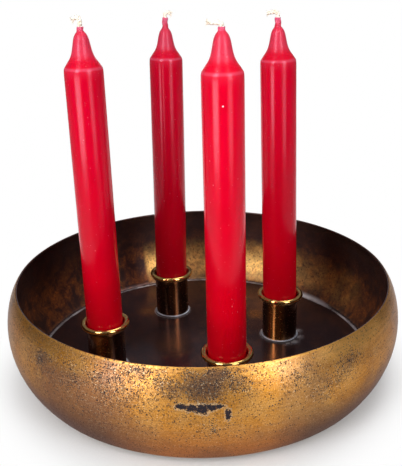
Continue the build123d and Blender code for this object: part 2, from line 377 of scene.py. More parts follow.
bowlFinish = {
    "goldPale": (0.68, 0.33, 0.065, 1),
    "gold": (0.62, 0.25, 0.014, 1),
    "copper": (0.5, 0.165, 0.03, 1),
    "bronze": (0.25, 0.105, 0.031, 1),
    "umber": (0.13, 0.068, 0.044, 1),
    "ash": (0.118, 0.052, 0.028, 1),
    "rimGold": (1.0, 0.52, 0.13, 1),
    "bare": (0.86, 0.7, 0.46, 1),
    "pepper": (0.032, 0.023, 0.021, 1),
    "fleck": (0.016, 0.014, 0.018, 1),
    "insideGold": (1.0, 0.58, 0.16, 1),
    "insideBrown": (0.19, 0.072, 0.034, 1),
    "insideDark": (0.058, 0.031, 0.029, 1),
    "insideRust": (0.44, 0.15, 0.04, 1),
    "floorDark": (0.042, 0.028, 0.036, 1),
    "floorWarm": (0.16, 0.064, 0.04, 1),
    "stain": (0.36, 0.14, 0.035, 1),
    # pale grey for real dust and for the painted highlight in the corner
    "dustAndHighlightGrey": (0.66, 0.63, 0.65, 1),
    "underside": (0.3, 0.17, 0.07, 1),
    # noise: scale per metre, detail, roughness, distortion
    "grit": (1500.0, 2.0, 0.6),
    "clumps": (230.0, 3.0, 0.6),
    "blotches": (120.0, 5.0, 0.65, 0.5),
    "stipple": (480.0, 6.0, 0.75),
    "dents": (70.0, 2.0, 0.4),
    "ragged": (760.0, 5.0, 0.72, 0.6),
    # clouds, lines and grains per metre
    "cloudScale": 26.0, "mottleScale": 75.0, "lineScale": 900.0, "pepperScale": 1250.0,
    "crowdScales": (1450.0, 1900.0), "coarseScale": 760.0, "saltScale": 1500.0,
    "wallGrainScale": 800.0,
    # where the surface faces outwards, lies level inside or is the underside
    "outsideFacing": (0.0, 0.3), "floorLevel": (0.72, 0.98), "cornerHighlightLevel": (0.1, 0.4),
    "undersideLevel": (-0.98, -0.8, 1.0, 0.0),
    # heights over which a layer comes or goes, and its first and last share where not 0 and 1
    "rimBand": (46.0 * mm, 55.0 * mm),
    "rimGlowBand": (51.0 * mm, 57.0 * mm),
    "wornRim": (59.4 * mm, 60.2 * mm, 0.0, 0.7),
    "footBand": (13.0 * mm, 41.0 * mm, 0.9, 0.0),
    "pepperBand": (20.0 * mm, 48.0 * mm, 0.2, 0.6),
    "glowTop": (21.0 * mm, 38.0 * mm, 1.0, 0.0),
    "glowFoot": (7.0 * mm, 14.0 * mm, 0.3, 1.0),
    "darkTop": (20.0 * mm, 46.0 * mm, 0.0, 0.86),
    "lacquerBand": (25.0 * mm, 53.0 * mm, 0.17, 0.36),
    # the same by the strength of a mask
    "brightFrom": (0.15, 1.1),
    "cloudTarnish": (0.5, 1.0, 0.0, 0.34),
    "lineTarnish": (0.42, 0.7, 0.0, 0.35),
    "gritTarnish": (0.3, 0.7, 0.0, 0.24),
    "gritBare": (0.32, 0.5, 0.16, 0.0),
    "clumped": (0.36, 0.64),
    "patchTarnish": (0.6, 1.45, 0.0, 0.8),
    "crowded": (0.12, 0.95, 0.0, 0.95),
    "coarseCore": (0.35, 1.0, 0.0, 0.42),
    "flaked": (0.92, 1.04, 1.0, 0.0),
    "bareStart": (1.0, 1.1),
    "bareEnd": (1.1, 1.45, 0.42, 0.0),
    "strayCopper": (0.58, 0.7, 0.0, 0.3),
    "glowMottle": (0.1, 0.9, 1.0, 0.5),
    "glowStipple": (0.34, 0.58, 0.45, 1.0),
    "browned": (0.36, 0.64),
    "rustStipple": (0.46, 0.66, 0.0, 0.75),
    "rustBlotch": (0.42, 0.62),
    "floorClouds": (0.2, 0.85, 0.14, 0.56),
    "floorStipple": (0.5, 0.68, 0.0, 0.5),
    # a start value, and the share of a mask that is added to it
    "brokenUp": (0.45, 0.75), "grittyCover": (0.45, 0.75), "pepperCover": (0.45, 1.0),
    "wallGrains": (0.2, 0.35), "stainCover": (0.4, 0.6), "dustAndHighlightCover": (0.45, 0.55),
    "cornerHighlightWidth": (1.0, 1.4), "satin": (0.34, 0.18), "glossy": (0.3, -0.18),
    "insideLacquer": (-0.1, 0.4),
    # plain shares
    "cloudPolish": 0.3, "agedCopper": 0.35, "pepperShare": 0.92, "saltCover": 0.34,
    "saltShare": 0.34, "coarseShare": 0.8, "wallGrainShare": 0.7, "residueShare": 0.6,
    "corrodedSatin": 0.22, "mottleGloss": 0.08, "stippleGloss": 0.1, "dustAndHighlightGloss": 0.3,
    "corrodedDull": 0.55, "dustAndHighlightDull": 0.7, "brownDull": 0.3, "corrodedLacquer": -0.4,
    "lineRelief": 0.35, "dentRelief": 1.2, "stippleRelief": 1.6,
    "bump": (0.35, 0.12 * mm),
    # the shader's own values: the spun lines spread highlights across themselves
    "shader": {
        "Coat Roughness": 0.26, "Anisotropic": 0.4, "Anisotropic Rotation": 0.25,
        "Specular Tint": (0.4, 0.36, 0.4, 1),
    },
    # sides where the brass is brighter, with the columns of sideMask: on the wall, in the band below the rim,
    # at the foot and inside; partly worn brass and partly a painted reflection towards the camera, with
    # painted shade on the darker sides between; inside it is all painted reflection
    "polishAndSheen": [
        (-46.0, 21.0, 45.0, 0.95), (14.0, 20.0, 42.0, 1.0), (96.0, 14.0, 40.0, 0.9),
        (-142.0, 14.0, 42.0, 1.0),
    ],
    "rimSheen": [(-110.0, 8.0, 25.0, 0.9), (-10.0, 14.0, 36.0, 0.84)],
    "footPolishAndSheen": [(-62.0, 8.0, 29.0, 0.95), (120.0, 14.0, 50.0, 0.8)],
    "insideReflections": [
        (97.0, 10.0, 24.0, 1.0), (120.0, 6.0, 14.0, 0.8), (136.5, 2.0, 4.5, 0.7),
        (66.0, 4.0, 24.0, 0.3), (-98.0, 14.0, 46.0, 0.9),
    ],
    # a painted highlight on a paler stretch below the rim, painted shade on a darker stretch, more peppered
    # stretches of the wall, and where the painted highlight in the corner is wider
    "rimGlow": [(-21.0, 10.0, 16.0, 0.9)],
    "paintedShade": [(-38.5, 3.0, 8.0, 0.38)],
    "gritty": [(-86.0, 22.0, 52.0, 1.0), (110.0, 30.0, 70.0, 0.9)],
    "widerCornerHighlight": [(72.0, 5.0, 18.0, 1.0)],
    "cornerRadius": 105.8 * mm,
    "cornerWidth": (0.2 * mm, 1.5 * mm, 1.0, 0.0),
    "residueWidth": 1.3 * mm,
    # smears of dust and rusty stains on the floor of the bowl: x, y, reach in mm and strength
    "smears": [
        (51.2, 39.6, 5.5, 0.85), (50.4, 32.8, 6.0, 0.9), (47.6, 28.6, 5.0, 0.8),
        (48.2, 47.4, 5.0, 0.75),
    ],
    "stains": [
        (12.8, 58.2, 12.0, 1.0), (-60.2, 29.3, 11.0, 0.7), (-20.0, -6.0, 15.0, 0.35),
        (64.0, -12.0, 12.0, 0.5),
    ],
    # shift of the second layer of grains in a patch
    "grainShift": (13.0 * mm, 7.0 * mm, 5.0 * mm),
    # corroded patches on the outside, lower than they are wide, on a ring inside the bowl's outline;
    # their edges wander by a noise with this scale, detail and reach
    "patchLay": (1.0, 1.0, 1.7),
    "patchRing": 0.965,
    "patchWander": (90.0, 3.0, 13.0 * mm),
    # direction in degrees from +X, height and half width in mm, strength
    "patches": [
        (-62.3, 52.5, 25.0, 1.6), (-59.5, 56.5, 17.0, 1.45), (-67.5, 52.0, 16.0, 1.2),
        (-71.0, 53.0, 15.0, 1.2), (-70.3, 48.5, 13.0, 1.05), (-55.0, 52.5, 18.0, 1.1),
        (-78.5, 56.5, 15.0, 1.1), (-76.6, 46.5, 11.0, 0.85), (-83.0, 53.0, 15.0, 1.0),
        (-89.0, 52.5, 15.0, 0.95), (-82.0, 47.0, 15.0, 0.85), (-82.0, 50.0, 42.0, 0.8),
        (-97.0, 49.0, 28.0, 0.8), (-107.0, 49.5, 16.0, 1.25), (-38.0, 50.0, 24.0, 0.6),
        (-24.0, 49.0, 22.0, 1.05), (-31.0, 41.0, 18.0, 1.0), (-61.0, 29.0, 20.0, 0.8),
        (35.0, 50.0, 30.0, 1.1), (98.0, 47.0, 34.0, 1.3), (118.0, 53.0, 22.0, 1.1),
        (160.0, 51.0, 28.0, 1.1), (-165.0, 44.0, 18.0, 0.9),
    ],
    # places where the lacquer has flaked off to black metal: direction in degrees from +X, height,
    # half width and half height in mm
    "chipRadius": 120.0 * mm,
    "chipRaggedness": 2.8,
    "chips": [
        (-67.7, 42.9, 3.0, 1.5), (-65.3, 42.4, 3.4, 1.9), (-62.9, 41.7, 3.6, 2.5),
        (-60.8, 42.6, 3.4, 1.7), (-59.2, 42.9, 2.8, 1.1), (-57.2, 38.3, 1.5, 3.2),
        (99.0, 41.0, 5.5, 2.2), (37.0, 44.0, 2.6, 2.0),
    ],
}


def patchMask(spot):
    # the outlines wander, so that no patch is round
    finish = bowlFinish
    wandering = vectorNode("ADD", spot, wander(spot, *finish["patchWander"]))
    wandering = vectorNode("MULTIPLY", wandering, finish["patchLay"])
    covers = []
    for turn, height, reach, strength in finish["patches"]:
        middle = wayOf(turn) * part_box("bowl")[1].x * finish["patchRing"]
        middle.z = height * mm
        gap = apart(wandering, middle * Vector(finish["patchLay"]))
        covers.append(ramp(gap, 0.0, reach * mm, strength, 0.0))
    return strongest(covers)


def chipEdge(spot):
    # below 1 inside a flaked place, above 1 outside it
    finish = bowlFinish
    ragged = minus(noise(spot, *finish["ragged"]), 0.5)
    nearest = None
    for turn, height, halfWidth, halfHeight in finish["chips"]:
        middle = wayOf(turn) * finish["chipRadius"]
        middle.z = height * mm
        away = vectorNode("SUBTRACT", spot, middle)
        shares = (1 / (halfWidth * mm), 1 / (halfWidth * mm), 1 / (halfHeight * mm))
        gap = vectorNode("LENGTH", vectorNode("MULTIPLY", away, shares), output="Value")
        nearest = gap if nearest is None else sums("MINIMUM", nearest, gap)
    return withShare(ragged, nearest, finish["chipRaggedness"])


def footResidue(flat):
    # pale dust and lacquer round the foot of each cup
    rings = []
    for name in candleNames:
        low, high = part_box(f"cup_foot_ring_{name}")
        middle = (low + high) / 2
        radius = (high.x - low.x) / 2
        gap = apart(flat, (middle.x, middle.y, 0))
        rings.append(ramp(gap, radius, radius + bowlFinish["residueWidth"], 1.0, 0.0))
    return strongest(rings)


def floorMarks(flat, marks):
    covers = []
    for x, y, reach, strength in marks:
        gap = apart(flat, (x * mm, y * mm, 0.0))
        covers.append(ramp(gap, 0.0, reach * mm, strength, 0.0))
    return strongest(covers)


def bowlMasks(place):
    # where a point of the bowl lies and which clouds, lines and grains it carries
    finish = bowlFinish
    spot, facing = place["Object"], place["Normal"]
    flat = flattened(spot)
    outward = vectorNode("NORMALIZE", flat)
    level = heightOf(facing)
    outside = ramp(along(outward, facing), *finish["outsideFacing"])
    onFloor = ramp(level, *finish["floorLevel"])
    return {
        "spot": spot, "flat": flat, "outward": outward, "level": level, "high": heightOf(spot),
        "outside": outside, "inside": opposite(outside),
        "onFloor": onFloor, "upright": opposite(onFloor),
        "clouds": cloudMasks(spot, finish["cloudScale"]),
        "mottle": cloudMasks(spot, finish["mottleScale"]),
        "lines": lineMask(spot, finish["lineScale"]),
        "grit": noise(spot, *finish["grit"]),
        "blotch": noise(spot, *finish["blotches"]),
        "stipple": noise(spot, *finish["stipple"]),
    }


def brassBody(bowl):
    # bright brass in places, bronze between them, copper lower down, broken up by spun lines; partly worn
    # brass, partly painted light: bright places and the rim band paint the lamps' reflection, the bronze
    # sides paint shade
    finish = bowlFinish
    outward, high, clouds = bowl["outward"], bowl["high"], bowl["clouds"]
    polishAndSheenCover = withShare(clouds["Quick"], sideMask(outward, finish["polishAndSheen"]), finish["cloudPolish"])
    rimBand = times(sideMask(outward, finish["rimSheen"]), ramp(high, *finish["rimBand"]))
    bright = strongest([ramp(polishAndSheenCover, *finish["brightFrom"]), rimBand])
    golden = blendColours(bowl["mottle"]["Slow"], finish["gold"], finish["goldPale"])
    coppery = times(clouds["Slow"], finish["agedCopper"])
    aged = blendColours(coppery, finish["bronze"], finish["copper"])
    body = blendColours(bright, aged, golden)
    # painted highlight below the rim, and painted shade on the hot spot beside it
    rimGlow = times(sideMask(outward, finish["rimGlow"]), ramp(high, *finish["rimGlowBand"]))
    body = blendColours(rimGlow, body, finish["rimGold"])
    body = blendColours(sideMask(outward, finish["paintedShade"]), body, finish["umber"])
    # painted reflection: the foot is coppery on the sides given, ash elsewhere
    foot = blendColours(sideMask(outward, finish["footPolishAndSheen"]), finish["ash"], finish["copper"])
    body = blendColours(ramp(high, *finish["footBand"]), body, foot)
    for mask, layer, tint in (
        (clouds["Slow"], "cloudTarnish", "umber"), (bowl["lines"], "lineTarnish", "umber"),
        (bowl["grit"], "gritTarnish", "umber"), (bowl["grit"], "gritBare", "bare"),
        (high, "wornRim", "goldPale"),
    ):
        body = blendColours(ramp(mask, *finish[layer]), body, finish[tint])
    return body


def corrode(bowl, body):
    # corroded patches, fine pepper over the upper wall and flaked lacquer with a bare bright edge
    finish = bowlFinish
    spot = bowl["spot"]
    covered = patchMask(spot)
    clumps = ramp(noise(spot, *finish["clumps"]), *finish["clumped"])
    patch = sums("MULTIPLY", covered, withShare(clumps, *finish["brokenUp"]), clamp=True)
    body = blendColours(ramp(covered, *finish["patchTarnish"]), body, finish["umber"])
    dusting = times(
        ramp(bowl["high"], *finish["pepperBand"]),
        withShare(sideMask(bowl["outward"], finish["gritty"]), *finish["grittyCover"]),
        withShare(bowl["mottle"]["Quick"], *finish["pepperCover"]),
    )
    pepper = spotMask(spot, finish["pepperScale"], dusting)
    crowd = ramp(patch, *finish["crowded"])
    shifted = vectorNode("ADD", spot, finish["grainShift"])
    larger, smaller = finish["crowdScales"]
    dense = strongest([spotMask(spot, larger, crowd), spotMask(shifted, smaller, crowd)])
    speck = strongest([times(pepper, finish["pepperShare"]), dense])
    body = blendColours(speck, body, finish["pepper"])
    salt = spotMask(spot, finish["saltScale"], times(patch, finish["saltCover"]))
    body = blendColours(times(salt, finish["saltShare"]), body, finish["bare"])
    edge = chipEdge(spot)
    bare = times(ramp(edge, *finish["bareStart"]), ramp(edge, *finish["bareEnd"]))
    body = blendColours(bare, body, finish["bare"])
    coarse = spotMask(spot, finish["coarseScale"], ramp(patch, *finish["coarseCore"]))
    flaked = ramp(edge, *finish["flaked"])
    black = strongest([times(coarse, finish["coarseShare"]), flaked])
    stray = ramp(bowl["grit"], *finish["strayCopper"])
    colour = blendColours(black, body, blendColours(stray, finish["fleck"], finish["copper"]))
    return colour, strongest([speck, black])


def insideWall(bowl):
    # painted reflection: gold clouds low on a brown wall on the sides given; painted shade: the wall darkens
    # towards the rim
    finish = bowlFinish
    high, blotch, stipple = bowl["high"], bowl["blotch"], bowl["stipple"]
    glow = times(
        sideMask(bowl["outward"], finish["insideReflections"]),
        ramp(high, *finish["glowTop"]), ramp(high, *finish["glowFoot"]),
        ramp(bowl["mottle"]["Slow"], *finish["glowMottle"]), ramp(stipple, *finish["glowStipple"]),
    )
    wall = blendColours(ramp(blotch, *finish["browned"]), finish["insideDark"], finish["insideBrown"])
    rusted = times(ramp(stipple, *finish["rustStipple"]), ramp(blotch, *finish["rustBlotch"]))
    wall = blendColours(rusted, wall, finish["insideRust"])
    # painted shade: darker towards the rim
    wall = blendColours(ramp(high, *finish["darkTop"]), wall, finish["insideDark"])
    wall = blendColours(glow, wall, finish["insideGold"])
    grains = withShare(glow, *finish["wallGrains"])
    grains = spotMask(bowl["spot"], finish["wallGrainScale"], grains)
    return blendColours(times(grains, finish["wallGrainShare"]), wall, finish["insideDark"]), glow


def insideFloor(bowl):
    # near black lacquer with warm clouds and rusty stains
    finish = bowlFinish
    cloudy = times(plus(bowl["blotch"], bowl["mottle"]["Slow"]), 0.5)
    ground = blendColours(ramp(cloudy, *finish["floorClouds"]), finish["floorDark"], finish["floorWarm"])
    ground = blendColours(ramp(bowl["stipple"], *finish["floorStipple"]), ground, finish["insideDark"])
    uneven = withShare(bowl["mottle"]["Quick"], *finish["stainCover"])
    rusty = times(floorMarks(bowl["flat"], finish["stains"]), uneven)
    return blendColours(rusty, ground, finish["stain"])


def dustAndCornerHighlight(bowl):
    # grey dust round the feet of the cups and in a few smears, and a painted highlight as a pale line in the
    # corner
    finish = bowlFinish
    flat = bowl["flat"]
    reach = vectorNode("LENGTH", flat, output="Value")
    offCorner = sums("ABSOLUTE", minus(reach, finish["cornerRadius"]))
    widened = withShare(sideMask(bowl["outward"], finish["widerCornerHighlight"]), *finish["cornerHighlightWidth"])
    # painted highlight: a pale line along the corner of wall and floor
    corner = ramp(sums("DIVIDE", offCorner, widened), *finish["cornerWidth"])
    corner = times(corner, ramp(bowl["level"], *finish["cornerHighlightLevel"]))
    residue = times(footResidue(flat), finish["residueShare"])
    residue = strongest([residue, floorMarks(flat, finish["smears"])])
    dustAndHighlight = strongest([corner, times(residue, bowl["onFloor"])])
    return times(dustAndHighlight, withShare(bowl["mottle"]["Slow"], *finish["dustAndHighlightCover"]))


def makeBowlBrass():
    finish = bowlFinish
    material, shader, place = startMaterial("agedBrass")
    bowl = bowlMasks(place)
    inside, onFloor = bowl["inside"], bowl["onFloor"]
    outsideColour, rough = corrode(bowl, brassBody(bowl))
    wall, glow = insideWall(bowl)
    dustAndHighlight = dustAndCornerHighlight(bowl)
    insideColour = blendColours(onFloor, wall, insideFloor(bowl))
    insideColour = blendColours(dustAndHighlight, insideColour, finish["dustAndHighlightGrey"])
    colour = blendColours(bowl["outside"], insideColour, outsideColour)
    colour = blendColours(ramp(bowl["level"], *finish["undersideLevel"]), colour, finish["underside"])

    # satin outside, glossier inside, dull where corroded, dusty or under the painted highlight in the corner
    satin = withShare(rough, withShare(bowl["lines"], *finish["satin"]), finish["corrodedSatin"])
    grainy = times(bowl["stipple"], bowl["upright"])
    glossy = withShare(onFloor, *finish["glossy"])
    glossy = withShare(bowl["mottle"]["Quick"], glossy, finish["mottleGloss"])
    glossy = withShare(grainy, glossy, finish["stippleGloss"])
    glossy = withShare(dustAndHighlight, glossy, finish["dustAndHighlightGloss"])
    roughness = addNode("ShaderNodeMix", {0: bowl["outside"], 2: glossy, 3: satin}).outputs[0]
    dull = strongest([
        times(rough, finish["corrodedDull"]), times(dustAndHighlight, finish["dustAndHighlightDull"]),
        times(inside, opposite(glow), finish["brownDull"]),
    ])
    lacquer = times(inside, withShare(onFloor, *finish["insideLacquer"]))
    lacquer = plus(lacquer, ramp(bowl["high"], *finish["lacquerBand"]))
    relief = minus(times(bowl["lines"], finish["lineRelief"]), rough)
    relief = withShare(noise(bowl["spot"], *finish["dents"]), relief, finish["dentRelief"])
    relief = withShare(times(inside, grainy), relief, finish["stippleRelief"])
    lacquer = withShare(rough, lacquer, finish["corrodedLacquer"])
    setShader(shader, finish, colour, roughness, relief)
    fillInputs(shader, {"Metallic": opposite(dull), "Coat Weight": lacquer})
    return material


cupFinish = {
    "bronze": (0.92, 0.43, 0.11, 1),
    "bronzeDark": (0.105, 0.058, 0.04, 1),
    "rimGold": (0.84, 0.5, 0.15, 1),
    "rimWorn": (0.42, 0.22, 0.07, 1),
    "fleck": (0.03, 0.02, 0.016, 1),
    # painted light: the side on which each cup shows a painted highlight, with the columns of sideMask, and
    # how far painted shade darkens the rest
    "litSides": {
        "right": [(-84.0, 9.0, 34.0, 1.0)], "rear": [(-49.0, 2.0, 10.0, 0.26)],
        "left": [(-62.0, 6.0, 30.0, 0.5)], "front": [(-62.0, 6.0, 30.0, 0.6)],
    },
    "paintedShadeShare": 0.86, "cloudDark": 0.14,
    "lineDark": (0.48, 0.68, 0.0, 0.45),
    "rimBand": (31.7 * mm, 32.8 * mm),
    "rimWear": 0.6, "cloudScale": 70.0, "lineScale": 1300.0, "fleckScale": 1300.0,
    "fleckCover": 0.12, "fleckShare": 0.6, "gloss": (0.11, 0.06), "fleckGloss": 0.3,
    "lineRelief": 0.5,
    "bump": (0.2, 0.05 * mm),
    "shader": {
        "Metallic": 1.0, "Anisotropic": 0.85, "Anisotropic Rotation": 0.25,
        "Coat Weight": 0.34, "Coat Roughness": 0.2,
    },
}


def makeCupBrass(name):
    finish = cupFinish
    material, shader, place = startMaterial(f"cupBrass_{name}")
    spot = place["Object"]
    clouds = cloudMasks(spot, finish["cloudScale"])
    drawn = lineMask(spot, finish["lineScale"])
    flecks = spotMask(spot, finish["fleckScale"], finish["fleckCover"])
    facing = vectorNode("NORMALIZE", flattened(place["Normal"]))
    # painted shade darkens each cup away from its painted highlight, with tarnish clouds on top
    shadeAndTarnish = times(opposite(sideMask(facing, finish["litSides"][name])), finish["paintedShadeShare"])
    shadeAndTarnish = plus(shadeAndTarnish, times(clouds["Slow"], finish["cloudDark"]), clamp=True)
    body = blendColours(shadeAndTarnish, finish["bronze"], finish["bronzeDark"])
    body = blendColours(ramp(drawn, *finish["lineDark"]), body, finish["bronzeDark"])
    gold = blendColours(times(clouds["Quick"], finish["rimWear"]), finish["rimGold"], finish["rimWorn"])
    colour = blendColours(ramp(heightOf(spot), *finish["rimBand"]), body, gold)
    colour = blendColours(times(flecks, finish["fleckShare"]), colour, finish["fleck"])
    gloss = withShare(clouds["Quick"], *finish["gloss"])
    relief = minus(times(drawn, finish["lineRelief"]), flecks)
    setShader(shader, finish, colour, withShare(flecks, gloss, finish["fleckGloss"]), relief)
    return material


ringFinish = {
    "bright": (0.84, 0.88, 1.0, 1),
    "dull": (0.5, 0.53, 0.62, 1),
    "fleck": (0.08, 0.07, 0.07, 1),
    "shadedFlank": (0.075, 0.06, 0.055, 1),
    # painted light: the lit side of the rings, lighter on top, and how much of that shows all round
    "litSide": [(-25.0, 50.0, 150.0, 1.0)],
    "litCover": (0.3, 0.7), "topLevel": (0.5, 0.92), "cloudScale": 120.0, "fleckScale": 1600.0,
    "fleckCover": 0.42, "roughness": (0.32, 0.15),
    "bump": (0.25, 0.06 * mm),
    "shader": {"Metallic": 0.45},
}


def makeRingMetal():
    finish = ringFinish
    material, shader, place = startMaterial("ringMetal")
    spot, facing = place["Object"], place["Normal"]
    clouds = cloudMasks(spot, finish["cloudScale"])
    flecks = spotMask(spot, finish["fleckScale"], finish["fleckCover"])
    colour = blendColours(clouds["Slow"], finish["bright"], finish["dull"])
    colour = blendColours(flecks, colour, finish["fleck"])
    # painted light: tops on the lit side keep the metal's colour, the rest takes the shaded flank colour
    outward = vectorNode("NORMALIZE", flattened(facing))
    lit = withShare(sideMask(outward, finish["litSide"]), *finish["litCover"])
    lit = times(lit, ramp(heightOf(facing), *finish["topLevel"]))
    colour = blendColours(lit, finish["shadedFlank"], colour)
    setShader(shader, finish, colour, withShare(clouds["Quick"], *finish["roughness"]), clouds["Quick"])
    return material


plugFinish = {
    "bright": (0.74, 0.5, 0.2, 1),
    "dull": (0.46, 0.29, 0.11, 1),
    "cloudScale": 90.0,
    "turnedLay": (1.0, 1.0, 0.05),
    "turned": (1400.0, 2.0, 0.5),
    "roughness": (0.25, 0.2),
    "bump": (0.3, 0.05 * mm),
    "shader": {"Metallic": 1.0},
}


def makePlugBrass():
    finish = plugFinish
    material, shader, place = startMaterial("plugBrass")
    spot = place["Object"]
    clouds = cloudMasks(spot, finish["cloudScale"])
    turned = noise(stretched(spot, finish["turnedLay"]), *finish["turned"])
    colour = blendColours(clouds["Slow"], finish["bright"], finish["dull"])
    setShader(shader, finish, colour, withShare(clouds["Quick"], *finish["roughness"]), turned)
    return material


zincFinish = {
    "bright": (0.62, 0.64, 0.66, 1),
    "dull": (0.5, 0.48, 0.42, 1),
    "fleck": (0.18, 0.15, 0.12, 1),
    "cloudScale": 240.0, "fleckScale": 2200.0, "fleckCover": 0.3, "fleckShare": 0.6,
    "roughness": (0.28, 0.2),
    "bump": (0.2, 0.04 * mm),
    "shader": {"Metallic": 1.0},
}


def makeZincSteel():
    finish = zincFinish
    material, shader, place = startMaterial("zincSteel")
    spot = place["Object"]
    clouds = cloudMasks(spot, finish["cloudScale"])
    flecks = spotMask(spot, finish["fleckScale"], finish["fleckCover"])
    colour = blendColours(clouds["Slow"], finish["bright"], finish["dull"])
    colour = blendColours(times(flecks, finish["fleckShare"]), colour, finish["fleck"])
    setShader(shader, finish, colour, withShare(clouds["Quick"], *finish["roughness"]), clouds["Quick"])
    return material


def dressNodes(start, material):
    for name, node in cadNodes.items():
        if name.startswith(start):
            for slot in node.material_slots:
                slot.material = material


dressNodes("bowl", makeBowlBrass())
for name in candleNames:
    dressNodes(f"candle_cup_{name}", makeCupBrass(name))
dressNodes("cup_foot_ring_", makeRingMetal())
dressNodes("cup_plug_", makePlugBrass())
zincSteel = makeZincSteel()
dressNodes("cup_screw_", zincSteel)
dressNodes("cup_washer_", zincSteel)
print("metal pieces finished")

waxFinish = {
    # each candle low in its cup and at the shoulder; painted shade: each is darker low down, the rear one
    # darker than the others
    "tones": {
        "front": {"low": (0.52, 0.0, 0.007, 1), "high": (0.62, 0.0, 0.019, 1)},
        "left": {"low": (0.46, 0.0, 0.007, 1), "high": (0.54, 0.0, 0.019, 1)},
        "right": {"low": (0.47, 0.0, 0.007, 1), "high": (0.54, 0.0, 0.018, 1)},
        "rear": {"low": (0.33, 0.0, 0.006, 1), "high": (0.47, 0.0, 0.017, 1)},
    },
    "toneBand": (30.0 * mm, 165.0 * mm),
    "deep": (0.36, 0.0, 0.006, 1),
    "deepShare": 0.16,
    # pale colour on the drawn tip, up the neck, along the shoulder and fading below it, by the height above
    # the shoulder and the share at both ends: real bloom up the neck, a painted highlight on the tip and
    # shoulder
    "bloomAndHighlight": (0.84, 0.36, 0.6, 1),
    "tipHighlight": (3.0 * mm, 8.0 * mm, 0.0, 0.075),
    "neckBloom": 0.3,
    "neckFrom": 1.5 * mm,
    "edgeDrop": 0.5 * mm,
    "edgeHighlight": (0.2 * mm, 1.3 * mm, 0.11, 0.0),
    "fadeHighlight": (-7.0 * mm, 0.0, 0.0, 0.0275),
    "speck": (0.9, 0.42, 0.46, 1),
    "speckScale": 1600.0, "speckCover": 0.004, "speckShare": 0.5,
    # one white crumb pressed into the front candle: height above the foot, direction in degrees from +X
    "crumb": {"candle": "front", "rise": 164.7 * mm, "way": -64.5, "reach": 0.55 * mm},
    "crumbTint": (0.95, 0.66, 0.68, 1),
    "cloudScale": 55.0,
    "drawnLay": (1.0, 1.0, 0.06),
    "drawn": (420.0, 3.0, 0.6),
    "satin": (0.17, 0.05),
    # the tip is rougher than the body
    "tipSatin": (-1.0 * mm, 4.0 * mm, 0.0, 0.1),
    "drawnRelief": 0.2, "cloudRelief": 0.4,
    "bump": (0.1, 0.1 * mm),
    "shader": {
        "Specular IOR Level": 0.3, "Specular Tint": (1.0, 0.74, 0.92, 1),
        "Subsurface Weight": 0.25, "Subsurface Radius": (1.0, 0.12, 0.12), "Subsurface Scale": 2.0 * mm,
    },
}

candleShape = {
    "sides": 32,
    "footRadius": 10.0 * mm,
    "footChamfer": 0.8 * mm,
    "footDisc": 0.2 * mm,
    "fitRadius": 10.45 * mm,
    "fitHeight": 20.9 * mm,
    "mouthRadius": 10.95 * mm,
    "mouthHeight": 24.9 * mm,
    "shoulderRadius": 10.63 * mm,
    "shoulderHeight": 177.2 * mm,
    "shoulderSoftness": 1.1 * mm,
    # points of the CAD candle farther from its axis than this share of the radius belong to its body
    "bodyShare": 0.93, "bodyRings": 26,
    "tipHeight": 18.3 * mm,
    # the drawn tip, as shares of the shoulder radius and of the tip height
    "tipRings": [
        (0.95, 0.0), (0.9, 0.035), (0.81, 0.118), (0.69, 0.205), (0.597, 0.3), (0.53, 0.4),
        (0.482, 0.52), (0.45, 0.61), (0.425, 0.69), (0.392, 0.78), (0.345, 0.86), (0.28, 0.93),
        (0.19, 0.985),
    ],
    "neckRadius": 1.75 * mm,
    "neckRings": 6,
    "neckHeight": 6.5 * mm,
    # the wax round the wick keeps the lay of its strands
    "neckTwist": 0.16 * mm,
    "twistStrands": 3,
    "twistPitch": 4.2 * mm,
    "twistFrom": 0.6 * mm,
    "twistFade": 1.0 * mm,
    "wobble": 0.02 * mm,
    # height at which the axis of a candle crosses the axis of its cup
    "pivotHeight": 24.33 * mm,
    # smoothing draws the rings in to this share of their radius
    "roundingLoss": 0.9936,
    "dimple": 0.045 * mm,
    "dimpleGrain": 14 * mm,
    "turnStep": 47, "smooth": 50, "seed": 11,
}


